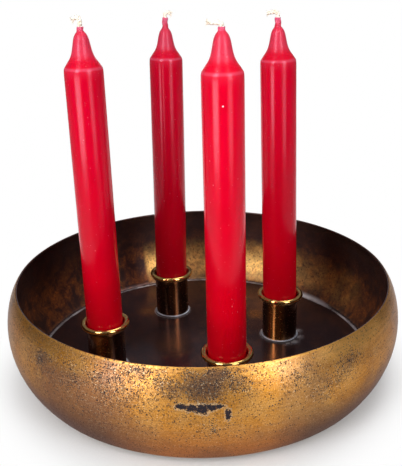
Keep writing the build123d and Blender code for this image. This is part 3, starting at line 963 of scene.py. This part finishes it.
def makeWax(name, seat):
    finish = waxFinish
    tone = finish["tones"][name]
    material, shader, place = startMaterial(f"redWax_{name}")
    spot = place["Object"]
    rise = along(vectorNode("SUBTRACT", spot, seat["foot"]), seat["axis"])
    above = minus(rise, seat["shoulder"])
    clouds = cloudMasks(spot, finish["cloudScale"])
    drawn = noise(stretched(spot, finish["drawnLay"]), *finish["drawn"])
    # painted shade: darker low in the cup
    colour = blendColours(ramp(rise, *finish["toneBand"]), tone["low"], tone["high"])
    colour = blendColours(times(clouds["Slow"], finish["deepShare"]), colour, finish["deep"])
    specks = spotMask(spot, finish["speckScale"], finish["speckCover"])
    colour = blendColours(times(specks, finish["speckShare"]), colour, finish["speck"])
    neck = ramp(rise, seat["tipTop"] - finish["neckFrom"], seat["top"], 0.0, finish["neckBloom"])
    edge = ramp(sums("ABSOLUTE", plus(above, finish["edgeDrop"])), *finish["edgeHighlight"])
    fading = times(ramp(above, *finish["fadeHighlight"]), sums("LESS_THAN", above, 0.0))
    # painted highlight on the tip and along the shoulder, fading below it; the pale wax up the neck is real
    bloomAndHighlight = strongest([ramp(above, *finish["tipHighlight"]), neck, edge, fading])
    colour = blendColours(bloomAndHighlight, colour, finish["bloomAndHighlight"])
    crumb = finish["crumb"]
    if name == crumb["candle"]:
        middle = seat["foot"] + seat["axis"] * crumb["rise"]
        middle += wayOf(crumb["way"]) * candleShape["shoulderRadius"]
        pressed = ramp(apart(spot, middle), crumb["reach"] / 2, crumb["reach"], 1.0, 0.0)
        colour = blendColours(pressed, colour, finish["crumbTint"])
    satin = withShare(clouds["Quick"], *finish["satin"])
    relief = times(drawn, finish["drawnRelief"])
    relief = withShare(clouds["Quick"], relief, finish["cloudRelief"])
    setShader(shader, finish, colour, plus(satin, ramp(above, *finish["tipSatin"])), relief)
    return material


def pushRing(radius, rise, last):
    bpy.ops.mesh.extrude_region_move(TRANSFORM_OT_translate={"value": (0, 0, rise)})
    bpy.ops.transform.resize(value=(radius / last, radius / last, 1))
    return radius


def modelCandle():
    shape = candleShape
    draw = random.Random(shape["seed"])
    radius = shape["footRadius"] - shape["footChamfer"]
    deselectAll()
    bpy.ops.mesh.primitive_cylinder_add(
        vertices=shape["sides"], radius=radius / shape["roundingLoss"],
        depth=shape["footDisc"], location=(0, 0, shape["footDisc"] / 2),
    )
    candle = bpy.context.object
    settlePlace(candle)
    pickFaces(candle, lambda face: face.normal.z > 0.9)
    radius = pushRing(shape["footRadius"], shape["footChamfer"] - shape["footDisc"], radius)
    radius = pushRing(shape["fitRadius"], shape["fitHeight"] - shape["footChamfer"], radius)
    radius = pushRing(shape["mouthRadius"], shape["mouthHeight"] - shape["fitHeight"], radius)
    level = shape["shoulderHeight"] - shape["shoulderSoftness"]
    step = (level - shape["mouthHeight"]) / shape["bodyRings"]
    for ring in range(1, shape["bodyRings"] + 1):
        share = ring / shape["bodyRings"]
        plain = shape["mouthRadius"] + (shape["shoulderRadius"] - shape["mouthRadius"]) * share
        stray = draw.uniform(-1, 1) * shape["wobble"] if ring < shape["bodyRings"] else 0
        radius = pushRing(plain + stray, step, radius)
    for radiusShare, heightShare in shape["tipRings"]:
        height = shape["shoulderHeight"] + heightShare * shape["tipHeight"]
        radius = pushRing(radiusShare * shape["shoulderRadius"], height - level, radius)
        level = height
    for ring in range(shape["neckRings"]):
        radius = pushRing(shape["neckRadius"], shape["neckHeight"] / shape["neckRings"], radius)
    leaveEdit()
    return candle


def measureCandle(name):
    shape = candleShape
    axis = liftAxis[f"candle_{name}"]
    low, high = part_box(f"candle_cup_{name}")
    pivot = Vector(((low.x + high.x) / 2, (low.y + high.y) / 2, shape["pivotHeight"]))
    runs = []
    shoulder = 0
    for vertex in cadNodes[f"candle_{name}"].data.vertices:
        run = (vertex.co - pivot).dot(axis)
        runs.append(run)
        if (vertex.co - pivot - axis * run).length > shape["shoulderRadius"] * shape["bodyShare"]:
            shoulder = max(shoulder, run)
    foot = pivot + axis * min(runs)
    seat = {"foot": foot, "axis": axis, "shoulder": shoulder - min(runs), "top": max(runs) - min(runs)}
    tall = seat["shoulder"] / shape["shoulderHeight"]
    seat["tall"] = tall
    seat["tipTop"] = (shape["shoulderHeight"] + shape["tipHeight"]) * tall
    return seat


def twistNeck(candle, tipTop):
    shape = candleShape
    for vertex in candle.data.vertices:
        above = vertex.co.z - tipTop + shape["twistFrom"]
        reach = math.hypot(vertex.co.x, vertex.co.y)
        if above > 0 and reach > shape["twistFrom"]:
            angle = math.atan2(vertex.co.y, vertex.co.x)
            lay = math.cos(shape["twistStrands"] * angle + math.tau * vertex.co.z / shape["twistPitch"])
            swell = 1 + lay * shape["neckTwist"] / reach * min(1, above / shape["twistFade"])
            vertex.co.x *= swell
            vertex.co.y *= swell


def standCandle(master, name, turn):
    shape = candleShape
    seat = measureCandle(name)
    makeActive(master)
    bpy.ops.object.duplicate()
    candle = bpy.context.object
    candle.name = f"waxCandle_{name}"
    candle.data.name = candle.name
    tipTop = seat["tipTop"]
    neckShare = (seat["top"] - tipTop) / (shape["neckHeight"] * seat["tall"])
    for vertex in candle.data.vertices:
        vertex.co.z *= seat["tall"]
        if vertex.co.z > tipTop:
            vertex.co.z = tipTop + (vertex.co.z - tipTop) * neckShare
    applyModifier(candle, "SUBSURF", levels=2, render_levels=2)
    twistNeck(candle, tipTop)
    lean = Vector((0, 0, 1)).rotation_difference(seat["axis"])
    candle.rotation_mode = "QUATERNION"
    candle.rotation_quaternion = lean @ Matrix.Rotation(math.radians(turn), 3, "Z").to_quaternion()
    candle.location = seat["foot"]
    settlePlace(candle)
    pushOut(candle, f"waxDimples_{name}", shape["dimpleGrain"], shape["dimple"], 0.5)
    smoothShade(candle, shape["smooth"])
    coverWith(candle, makeWax(name, seat))
    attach(candle, f"candle_{name}")
    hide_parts(f"candle_{name}")
    return seat


masterCandle = modelCandle()
candleSeats = {}
for index, name in enumerate(candleNames):
    candleSeats[name] = standCandle(masterCandle, name, candleShape["turnStep"] * index)
bpy.data.objects.remove(masterCandle)
print("candles stand in their cups")

cottonFinish = {
    "pale": (0.84, 0.8, 0.72, 1),
    "dull": (0.76, 0.66, 0.52, 1),
    "shade": (0.55, 0.44, 0.32, 1),
    "shadeBand": (0.5, 0.7, 0.0, 0.35),
    "cloudScale": 500.0,
    "fibreLay": (1.0, 1.0, 0.3),
    "fibres": (6000.0, 3.0, 0.6),
    "roughness": (0.78, 0.18),
    "bump": (0.5, 0.08 * mm),
    "shader": {"Specular IOR Level": 0.2},
}

wickShape = {
    "strands": 3,
    "strandRadius": 0.74 * mm,
    "plaitWidth": 0.84 * mm,
    "plaitDepth": 0.56 * mm,
    "plaitPitch": 5.6 * mm,
    "buried": 10.0 * mm,
    "coreRadius": 0.95 * mm,
    "coreOverlap": 1.0 * mm,
    "bendRadius": 1.5 * mm,
    "stepsPerPitch": 14,
    # loose cotton at the cut end: how deep it is rooted, how far it fans out and droops
    "fibres": 90,
    "fibreRadius": 0.04 * mm,
    "fibreLength": 1.6 * mm,
    "fibreSpan": (0.5, 1.15),
    "fibreRoot": 0.7 * mm,
    "fan": (0.1, 0.8), "droop": 0.5,
    "fibreSteps": (0, 0.35, 0.7, 1.0),
    "smooth": 60, "seed": 5,
    # how each wick ends: direction in degrees from +X, free rise, turn over in degrees, loose end
    "ends": {
        "right": {"way": 207.6, "rise": 1.2 * mm, "bend": 95, "end": 3.9 * mm},
        "rear": {"way": 27.6, "rise": 1.05 * mm, "bend": 112, "end": 1.56 * mm},
        "left": {"way": 207.6, "rise": 3.0 * mm, "bend": 118, "end": 1.56 * mm},
        "front": {"way": 207.6, "rise": 0.15 * mm, "bend": 86, "end": 5.2 * mm},
    },
}


def makeCotton():
    finish = cottonFinish
    material, shader, place = startMaterial("cotton")
    spot = place["Object"]
    clouds = cloudMasks(spot, finish["cloudScale"])
    fibres = noise(stretched(spot, finish["fibreLay"]), *finish["fibres"])
    colour = blendColours(clouds["Slow"], finish["pale"], finish["dull"])
    colour = blendColours(ramp(fibres, *finish["shadeBand"]), colour, finish["shade"])
    setShader(shader, finish, colour, withShare(clouds["Quick"], *finish["roughness"]), fibres)
    return material


def wickPlace(seat, end, run):
    # centre, direction and side of the wick at a distance along it, measured from the buried end
    shape = wickShape
    axis = seat["axis"]
    across = wayOf(end["way"])
    across = (across - axis * across.dot(axis)).normalized()
    straight = shape["buried"] + end["rise"]
    start = seat["foot"] + axis * (seat["top"] - shape["buried"])
    turn = min(max(run - straight, 0) / shape["bendRadius"], math.radians(end["bend"]))
    ahead = axis * math.cos(turn) + across * math.sin(turn)
    spot = start + axis * min(run, straight)
    spot += (axis * math.sin(turn) + across * (1 - math.cos(turn))) * shape["bendRadius"]
    past = run - straight - math.radians(end["bend"]) * shape["bendRadius"]
    if past > 0:
        spot += ahead * past
    return spot, ahead, axis.cross(across).normalized()


def curveTube(name, lines, radius):
    data = bpy.data.curves.new(name, "CURVE")
    data.dimensions = "3D"
    data.bevel_depth = radius
    data.bevel_resolution = 2
    data.use_fill_caps = True
    for line in lines:
        spline = data.splines.new("POLY")
        spline.points.add(len(line) - 1)
        for point, spot in zip(spline.points, line):
            point.co = (*spot, 1)
    tube = bpy.data.objects.new(name, data)
    bpy.context.scene.collection.objects.link(tube)
    makeActive(tube)
    bpy.ops.object.convert(target="MESH")
    return bpy.context.object


def plaitLine(seat, end, length, strand):
    shape = wickShape
    steps = int(length / shape["plaitPitch"] * shape["stepsPerPitch"])
    line = []
    for step in range(steps + 1):
        run = length * step / steps
        spot, ahead, side = wickPlace(seat, end, run)
        phase = math.tau * (run / shape["plaitPitch"] + strand / shape["strands"])
        spot += side * math.sin(phase) * shape["plaitWidth"]
        spot += side.cross(ahead) * math.sin(2 * phase) * shape["plaitDepth"]
        line.append(spot)
    return line


def looseCotton(seat, end, length, draw):
    shape = wickShape
    tail, ahead, side = wickPlace(seat, end, length)
    outer = side.cross(ahead)
    fibres = []
    for fibre in range(shape["fibres"]):
        angle = draw.uniform(0, math.tau)
        reach = math.sqrt(draw.random()) * shape["coreRadius"]
        out = side * math.cos(angle) + outer * math.sin(angle)
        root = tail + out * reach - ahead * shape["fibreRoot"]
        fan = ahead + out * draw.uniform(*shape["fan"])
        droop = Vector((0, 0, -1)) * draw.uniform(0, shape["droop"])
        size = shape["fibreLength"] * draw.uniform(*shape["fibreSpan"])
        fibres.append([root + (fan + droop * share) * size * share for share in shape["fibreSteps"]])
    return fibres


def braidWick(name, cotton):
    shape = wickShape
    seat = candleSeats[name]
    end = shape["ends"][name]
    draw = random.Random(f"{shape['seed']} {name}")
    length = shape["buried"] + end["rise"] + math.radians(end["bend"]) * shape["bendRadius"] + end["end"]
    strands = [plaitLine(seat, end, length, strand) for strand in range(shape["strands"])]
    braid = curveTube(f"braid_{name}", strands, shape["strandRadius"])
    tuft = curveTube(f"tuft_{name}", looseCotton(seat, end, length, draw), shape["fibreRadius"])
    # plain core down the bore
    coreTop = seat["foot"] + seat["axis"] * (seat["top"] - shape["buried"] + shape["coreOverlap"])
    core = curveTube(f"core_{name}", [[seat["foot"], coreTop]], shape["coreRadius"])
    wick = joinPieces([braid, tuft, core], f"braidedWick_{name}")
    smoothShade(wick, shape["smooth"])
    coverWith(wick, cotton)
    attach(wick, f"candle_{name}")
    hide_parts(f"wick_{name}")


cotton = makeCotton()
for name in candleNames:
    braidWick(name, cotton)
print("wicks braided")

feltFinish = {
    "black": (0.018, 0.018, 0.019, 1),
    "faded": (0.04, 0.038, 0.036, 1),
    "lint": (0.11, 0.105, 0.1, 1),
    "lintBand": (0.55, 0.75, 0.0, 0.6),
    "cloudScale": 260.0,
    "matted": (3200.0, 4.0, 0.7, 1.2),
    "roughness": (0.85, 0.15),
    "bump": (0.7, 0.2 * mm),
    "shader": {"Specular IOR Level": 0.1, "Sheen Weight": 0.3},
}

padShape = {
    "count": 4, "sides": 48,
    "shrink": 0.15 * mm,
    "rings": 5, "ringShare": 0.18, "wallCuts": 2,
    "edge": 0.6 * mm,
    "edgeSteps": 3, "edgeAngle": 50,
    "fuzz": 0.25 * mm,
    "fuzzGrain": 2.2 * mm,
    "fuzzMiddle": 0.75,
    # loose fibres round the wall: how deep they are rooted, how far off the faces, how they lean
    "fibres": 140,
    "fibreRadius": 0.03 * mm,
    "fibreLength": 0.9 * mm,
    "fibreRoot": 0.3 * mm,
    "fibreMargin": 0.5 * mm,
    "fibreSpan": (0.5, 1), "fibreLift": 0.4, "fibreKink": 0.3, "fibreReach": 0.8,
    "smooth": 60, "seed": 3,
}


def makeFelt():
    finish = feltFinish
    material, shader, place = startMaterial("blackFelt")
    spot = place["Object"]
    clouds = cloudMasks(spot, finish["cloudScale"])
    matted = noise(spot, *finish["matted"])
    colour = blendColours(clouds["Slow"], finish["black"], finish["faded"])
    colour = blendColours(ramp(matted, *finish["lintBand"]), colour, finish["lint"])
    setShader(shader, finish, colour, withShare(matted, *finish["roughness"]), matted)
    return material


def padFluff(index, low, high, radius):
    shape = padShape
    draw = random.Random(f"{shape['seed']} {index}")
    centre = (low + high) / 2
    fibres = []
    for fibre in range(shape["fibres"]):
        angle = draw.uniform(0, math.tau)
        out = Vector((math.cos(angle), math.sin(angle), 0))
        side = Vector((-out.y, out.x, 0)) * draw.uniform(-1, 1)
        root = Vector((centre.x, centre.y, 0)) + out * (radius - shape["fibreRoot"])
        root.z = draw.uniform(low.z + shape["fibreMargin"], high.z - shape["fibreMargin"])
        lift = Vector((0, 0, draw.uniform(-shape["fibreLift"], shape["fibreLift"])))
        size = shape["fibreLength"] * draw.uniform(*shape["fibreSpan"])
        kink = root + (out + side * shape["fibreKink"] + lift) * size / 2
        fibres.append([root, kink, root + (out * shape["fibreReach"] + side + lift) * size])
    return curveTube(f"fluff_{index}", fibres, shape["fibreRadius"])


def modelPad(index, felt):
    shape = padShape
    low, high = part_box(f"felt_pad_{index}")
    radius = (high.x - low.x) / 2 - shape["shrink"]
    deselectAll()
    bpy.ops.mesh.primitive_cylinder_add(
        vertices=shape["sides"], radius=radius, depth=high.z - low.z, location=(low + high) / 2
    )
    pad = bpy.context.object
    settlePlace(pad)
    pickFaces(pad, lambda face: abs(face.normal.z) > 0.9)
    for ring in range(shape["rings"]):
        bpy.ops.mesh.inset(thickness=radius * shape["ringShare"], use_boundary=True)
    leaveEdit()
    pickFaces(pad, lambda face: abs(face.normal.z) < 0.1)
    bpy.ops.mesh.subdivide(number_cuts=shape["wallCuts"])
    leaveEdit()
    applyModifier(
        pad, "BEVEL", width=shape["edge"], segments=shape["edgeSteps"], limit_method="ANGLE",
        angle_limit=math.radians(shape["edgeAngle"]),
    )
    applyModifier(pad, "SUBSURF", levels=1, render_levels=1)
    pushOut(pad, f"matted_{index}", shape["fuzzGrain"], shape["fuzz"], shape["fuzzMiddle"])
    pad = joinPieces([pad, padFluff(index, low, high, radius)], f"feltFoot_{index}")
    smoothShade(pad, shape["smooth"])
    coverWith(pad, felt)
    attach(pad, "holder")
    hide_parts(f"felt_pad_{index}")


felt = makeFelt()
for index in range(1, padShape["count"] + 1):
    modelPad(index, felt)
print("felt feet placed")

photoView = {
    "frame": (402, 466), "focalPixels": 679.5, "film": 36.0,
    "distance": 389.5 * mm,
    "height": 233.0 * mm,
    "turn": 27.56, "tilt": 20.8, "roll": -1.2,
    "clipStart": 10 * mm,
}

studio = {
    "floorSize": 8.0, "wallRadius": 3.2, "wallHeight": 0.85, "wallSides": 96, "wallSmooth": 60,
    "paper": (0.8, 0.8, 0.8, 1),
    "paperGrain": (0.72, 0.72, 0.72, 1),
    "grain": (900.0, 3.0, 0.6),
    "paperShader": {"Roughness": 0.9, "Specular IOR Level": 0.0},
    # the sheet ends in front of the object, and the darker studio floor goes on
    "sheetEdge": (0.22, 0.32),
    "bareFloor": (0.07, 0.07, 0.072, 1),
    # the paper is plain white from a little way off the object, and mirrored so in the wedge behind it
    "white": (0.1, 0.142),
    "sweep": (0.14, 0.32, 1.0, 0.0),
    "wedgeStart": 0.15, "wedgeSlope": -0.4,
    "wedgeEdge": (0.0, 0.12, 1.0, 0.0),
    "sky": (0.2, 0.204, 0.216, 1),
    "aimHeight": 0.3, "spread": 100,
    # lamps by direction from the camera's own, distance, height of the middle, size and power;
    # the fill from behind brightens the wax and isn't mirrored in the metal
    "lamps": {
        "leftWindow": {"swing": -36, "distance": 0.6, "height": 0.55, "size": (0.27, 0.7), "power": 1.85},
        "leftGlint": {"swing": -37, "distance": 0.6, "height": 0.065, "size": (0.3, 0.13), "power": 0.31},
        "rightWindow": {"swing": 36, "distance": 0.6, "height": 0.49, "size": (0.25, 0.74), "power": 1.28},
        "rightGlint": {"swing": 35, "distance": 0.6, "height": 0.06, "size": (0.22, 0.12), "power": 0.085},
        "ceiling": {"swing": 150, "distance": 0.4, "height": 1.5, "size": (0.9, 0.9), "power": 3.0},
        "rearFill": {"swing": 180, "distance": 0.7, "height": 0.24, "size": (0.4, 0.3), "power": 1.1},
    },
    "unmirrored": "rearFill",
}


def towardCamera(swing=0.0):
    turn = math.radians(photoView["turn"] + swing)
    return Vector((math.sin(turn), -math.cos(turn), 0))


def makePaper():
    material, shader, place = startMaterial("studioPaper")
    spot = place["Object"]
    tint = blendColours(noise(spot, *studio["grain"]), studio["paper"], studio["paperGrain"])
    ahead = along(spot, towardCamera())
    offSheet = ramp(ahead, *studio["sheetEdge"])
    tint = blendColours(offSheet, tint, studio["bareFloor"])
    fillInputs(shader, {"Base Color": tint, **studio["paperShader"]})
    nodes = material.node_tree.nodes
    rays = nodes.new("ShaderNodeLightPath").outputs
    mirrored = plus(rays["Is Glossy Ray"], rays["Is Transmission Ray"], clamp=True)
    aside = sums("ABSOLUTE", along(spot, towardCamera(90)))
    past = minus(aside, withShare(ahead, studio["wedgeStart"], studio["wedgeSlope"]))
    wedge = ramp(past, *studio["wedgeEdge"])
    mirrored = times(mirrored, wedge, ramp(ahead, *studio["sweep"]))
    white = ramp(vectorNode("LENGTH", spot, output="Value"), *studio["white"])
    share = times(white, strongest([rays["Is Camera Ray"], mirrored]))
    glow = nodes.new("ShaderNodeEmission").outputs[0]
    mixed = addNode("ShaderNodeMixShader", {0: share, 1: shader.outputs[0], 2: glow}).outputs[0]
    fillInputs(nodes["Material Output"], {"Surface": mixed})
    return material


def buildStudio():
    paper = makePaper()
    deselectAll()
    bpy.ops.mesh.primitive_plane_add(size=studio["floorSize"], location=(0, 0, 0))
    floor = bpy.context.object
    floor.name = "studioFloor"
    deselectAll()
    bpy.ops.mesh.primitive_cylinder_add(
        vertices=studio["wallSides"], radius=studio["wallRadius"], depth=studio["wallHeight"],
        end_fill_type="NOTHING", location=(0, 0, studio["wallHeight"] / 2),
    )
    wall = bpy.context.object
    wall.name = "studioWall"
    smoothShade(wall, studio["wallSmooth"])
    for piece in (floor, wall):
        piece.data.materials.append(paper)


def hangLamps():
    for name, lamp in studio["lamps"].items():
        spot = towardCamera(lamp["swing"]) * lamp["distance"]
        spot.z = lamp["height"]
        target = Vector((0, 0, min(lamp["height"], studio["aimHeight"])))
        bpy.ops.object.light_add(type="AREA", location=spot)
        light = bpy.context.object
        light.name = name
        light.rotation_euler = (target - spot).to_track_quat("-Z", "Y").to_euler()
        light.data.shape = "RECTANGLE"
        light.data.size, light.data.size_y = lamp["size"]
        light.data.energy = lamp["power"]
        light.data.spread = math.radians(studio["spread"])
        light.visible_camera = False
        light.visible_glossy = name != studio["unmirrored"]


def paintWorld():
    world = bpy.data.worlds.new("studioSky")
    bpy.context.scene.world = world
    world.use_nodes = True
    fillInputs(world.node_tree.nodes["Background"], {"Color": studio["sky"], "Strength": 1.0})


def placeCamera():
    view = photoView
    spot = towardCamera() * view["distance"]
    spot.z = view["height"]
    look = Matrix.Rotation(math.radians(view["turn"]), 3, "Z")
    look = look @ Matrix.Rotation(math.radians(90 - view["tilt"]), 3, "X")
    look = look @ Matrix.Rotation(math.radians(view["roll"]), 3, "Z")
    bpy.ops.object.camera_add(location=spot, rotation=look.to_euler())
    camera = bpy.context.object
    camera.name = "photoCamera"
    camera.data.sensor_width = view["film"]
    camera.data.lens = view["focalPixels"] / max(view["frame"]) * view["film"]
    camera.data.clip_start = view["clipStart"]
    bpy.context.scene.camera = camera


buildStudio()
hangLamps()
paintWorld()
placeCamera()
bpy.context.scene.view_settings.view_transform = "Standard"
print("studio and camera set")
